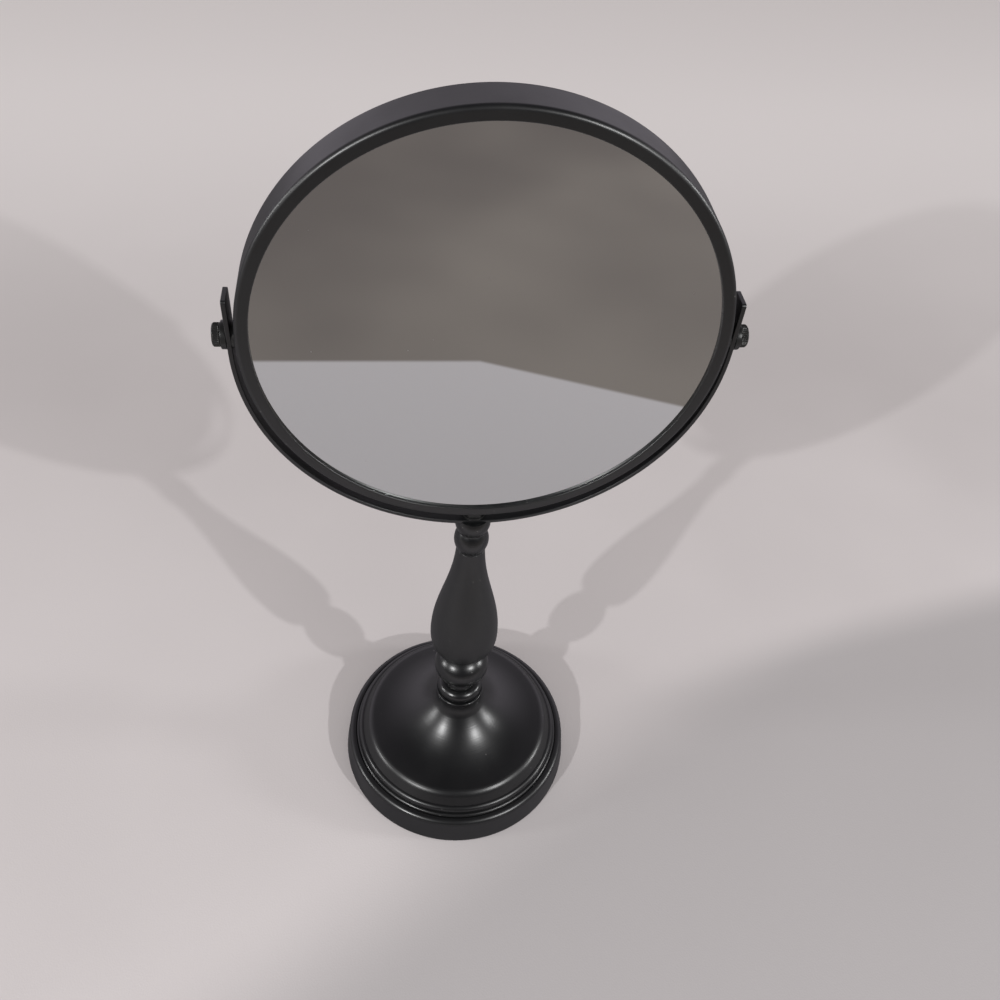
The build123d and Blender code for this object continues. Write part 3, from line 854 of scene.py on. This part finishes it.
opening = [(face, glass_front, 0), (face, front, 0.5), (ring_radius - 2.6, front, 0)]
front_edge = [
    (ring_radius - 2.5, front, 0),
    (ring_radius, front, 2.0),
    (ring_radius, front + 2.5, 0),
]
seam_edge = [
    (ring_radius, seam - 0.6, 0),
    (ring_radius, seam, 0.12),
    (wall, seam, 0.1),
    (wall, seam - 0.6, 0),
]
inside = [(wall, front + 2.1, 0), (wall, glass_front, 0.1), (face + 0.6, glass_front, 0)]
outline = np.vstack(
    [soften(opening, 16), soften(front_edge, 24), soften(seam_edge), soften(inside)]
)
grid = turned(outline, drum_sides, "y", center)
hoop = surface("spun_hoop", grid, drum_paint, "mirror_hoop", "mirror_head")
drilled(hoop, shank_hole * mm, ring_radius * mm + 0.01)

# %% [markdown]
# The bezel is a flat ring with the same opening and a rounded outer edge. Its skirt slips
# inside the hoop, round the hollow glass. Both are one outline, carried round once.

# %% Back of the drum
skirt, skirt_depth, skirt_wall = wall - 0.1, 3.5, 1.1
opening = [
    (face + 0.6, seam, 0),
    (face, seam, 0.1),
    (face, back, 0.5),
    (ring_radius - 2.0, back, 0),
]
back_edge = [
    (ring_radius - 1.9, back, 0),
    (ring_radius, back, 1.3),
    (ring_radius, seam, 0.1),
    (skirt + 0.3, seam, 0),
]
skirt_edge = [
    (skirt, seam, 0),
    (skirt, seam - skirt_depth, 0.2),
    (skirt - skirt_wall, seam - skirt_depth, 0.2),
    (skirt - skirt_wall, seam, 0),
]
outline = np.vstack([soften(opening, 16), soften(back_edge, 24), soften(skirt_edge)])
grid = turned(outline, drum_sides, "y", center)
surface("spun_bezel", grid, drum_paint, "back_bezel", "mirror_head")

# %% [markdown]
# The magnifying glass is a 3 mm sheet sagged over a sphere, hollow on its outer side. Each
# side is a sphere: its height above the rim's plane is the difference of two square roots,
# one at the rim and one at the point. Forty rings of points keep the reflection smooth.

# %% Hollow glass
hollow_sphere, glass_thickness = 700, 3.0
glass_radius = skirt - skirt_wall - 0.1
rings_out = np.linspace(0, glass_radius, 40)


def sagged(sphere):
    """Height of a sphere over the plane of the glass's rim, at each ring: the root of
    (sphere ** 2 - rim ** 2) less the root of (sphere ** 2 - ring ** 2)."""
    return np.sqrt(sphere**2 - glass_radius**2) - np.sqrt(sphere**2 - rings_out**2)


hollow, bulge = sagged(hollow_sphere), sagged(hollow_sphere + glass_thickness)
bulge = bulge + (hollow - bulge)[0] - glass_thickness
outer = np.stack([rings_out, seam + hollow], axis=1)
inner = np.stack([rings_out, seam + bulge], axis=1)
grid = turned(np.vstack([outer, inner[::-1]]), drum_sides, "y", center)
surface("hollow_glass", grid, back_mirror, "back_glass", "mirror_head")

# %% [markdown]
# The photograph's light comes from a small hard lamp on each side, in front and a little
# above, and the mirror's disc cuts it out of the cloth behind. A weaker broad light further
# round on each side draws the second, softer streaks on the throat of the base.


# %% Lamps
def area_light(name, azimuth, elevation, distance, size, power):
    """A square lamp aimed at the column from distance metres away, azimuth degrees round
    from the front to the right and elevation degrees up."""
    turn, tilt = radians(azimuth), radians(elevation)
    way = np.array([sin(turn) * cos(tilt), -cos(turn) * cos(tilt), sin(tilt)])
    aimed_at = (0, 0, 0.2)
    lamp = add_object(name, bpy.data.lights.new(name, "AREA"))
    lamp.data.size = size
    lamp.data.energy = power
    side = np.cross((0, 0, 1.0), way)
    side /= np.linalg.norm(side)
    aim(lamp, side, np.cross(way, side), way, way * distance + aimed_at)


area_light("lamp_left", azimuth=-45, elevation=30.5, distance=1.8, size=0.036, power=12.8)
area_light("lamp_right", azimuth=42, elevation=33, distance=1.4, size=0.028, power=7.6)
area_light("fill_left", azimuth=-85, elevation=15, distance=2.5, size=0.35, power=12)
area_light("fill_right", azimuth=83, elevation=15, distance=2.5, size=0.35, power=14)
print(len(bpy.data.lights), "lamps")

# %% [markdown]
# The object stands on pale cloth. Its colour is painted lighter towards the back, as painted
# light, and darker at the front right, as a painted shadow. The mirrors see the same floor,
# but in front they must show the cloth's edge and the dimmer room beyond it, and in a
# reflection the cloth from just in front of the base backwards is darker, a painted shade.
# Light Path tells a reflected ray from a direct one, so one material can hold both: the
# cloth for the eye, and the cloth's edge and the room for a reflection.

# %% Floor
floor_size = 4.0
corners = [(-1, -1), (1, -1), (1, 1), (-1, 1)]
floor_mesh = bpy.data.meshes.new("floor")
floor_points = [(floor_size * x, floor_size * y, 0) for x, y in corners]
floor_mesh.from_pydata(floor_points, [], [(0, 1, 2, 3)])
floor = add_object("floor", floor_mesh)

cloth, cloth_shader, start = new_finish("pale_cloth")
place = start.node("TexCoord", output="Object")
across, along = place.part("X"), place.part("Y")
in_gloss = start.node("LightPath", output="Is Glossy Ray")

# The cloth's own tone, varying at random in broad soft clouds.
broad_tone = noise(place, 3.0, 3.0).ramp(0.3, 0.7)
colour = broad_tone.mix((0.565, 0.53, 0.532, 1), (0.615, 0.578, 0.58, 1))
# Painted light: the cloth is coloured lighter towards the back.
colour = along.ramp(0.25, 1.0).mix(colour, (0.88, 0.84, 0.84, 1))
# Painted shadow: the cloth is coloured darker in front of and to the right of the base.
front_right_shadow = (across - along * 1.55).ramp(0.04, 0.2) * 0.74
front_right_shadow = front_right_shadow * (1 - (along - across * 0.21).ramp(-0.01, 0.035))
colour = front_right_shadow.mix(colour, (0.35, 0.335, 0.34, 1))

# Painted shade: in a reflection, the cloth from just in front of the base backwards is darker.
shade_near_base = along.ramp(-0.16, -0.09)
in_glass = shade_near_base.mix((0.39, 0.37, 0.385, 1), (0.22, 0.21, 0.225, 1))
colour = in_gloss.mix(colour, in_glass)

past_corner = start.math("MAXIMUM", across - 0.048, 0.0)
cloth_edge = along - past_corner * 0.366
room = (1 - cloth_edge.ramp(-0.413, -0.407)) * in_gloss
clouds = noise(place, 1.7, 3.0).ramp(0.32, 0.66)
colour = room.mix(colour, clouds.mix((0.105, 0.09, 0.085, 1), (0.175, 0.154, 0.14, 1)))

weave = relief(noise(place, 900.0), 0.0003, 0.25)
wire(cloth_shader, start, Base_Color=colour, Roughness=0.9, Normal=weave)
floor_mesh.materials.append(cloth)
print("floor", 2 * floor_size, "metres wide in", cloth.name)

# %% [markdown]
# The world lights everything evenly with a soft grey. In a reflection it is dark in front,
# so black paint stays black, and pale low down behind, where the cloth hangs up, which
# lights the rims of the drum and the back of the base.

# %% World
world = bpy.data.worlds.new("room")
bpy.context.scene.world = world
world.use_nodes = True
air = Value(world.node_tree)
seen_glossy = air.node("LightPath", output="Is Glossy Ray")
way = air.node("TexCoord", output="Generated")
behind = way.part("Y").ramp(0.1, 0.5)
low_down = 1 - way.part("Z").ramp(0.0, 1.15)
reflected = (behind * low_down).mix((0.036, 0.032, 0.039, 1), (0.68, 0.63, 0.7, 1))
shade = seen_glossy.mix((0.46, 0.44, 0.435, 1), reflected)
background = world.node_tree.nodes["Background"]
world.node_tree.links.new(shade.socket, background.inputs["Color"])
print("world", world.name)

# %% [markdown]
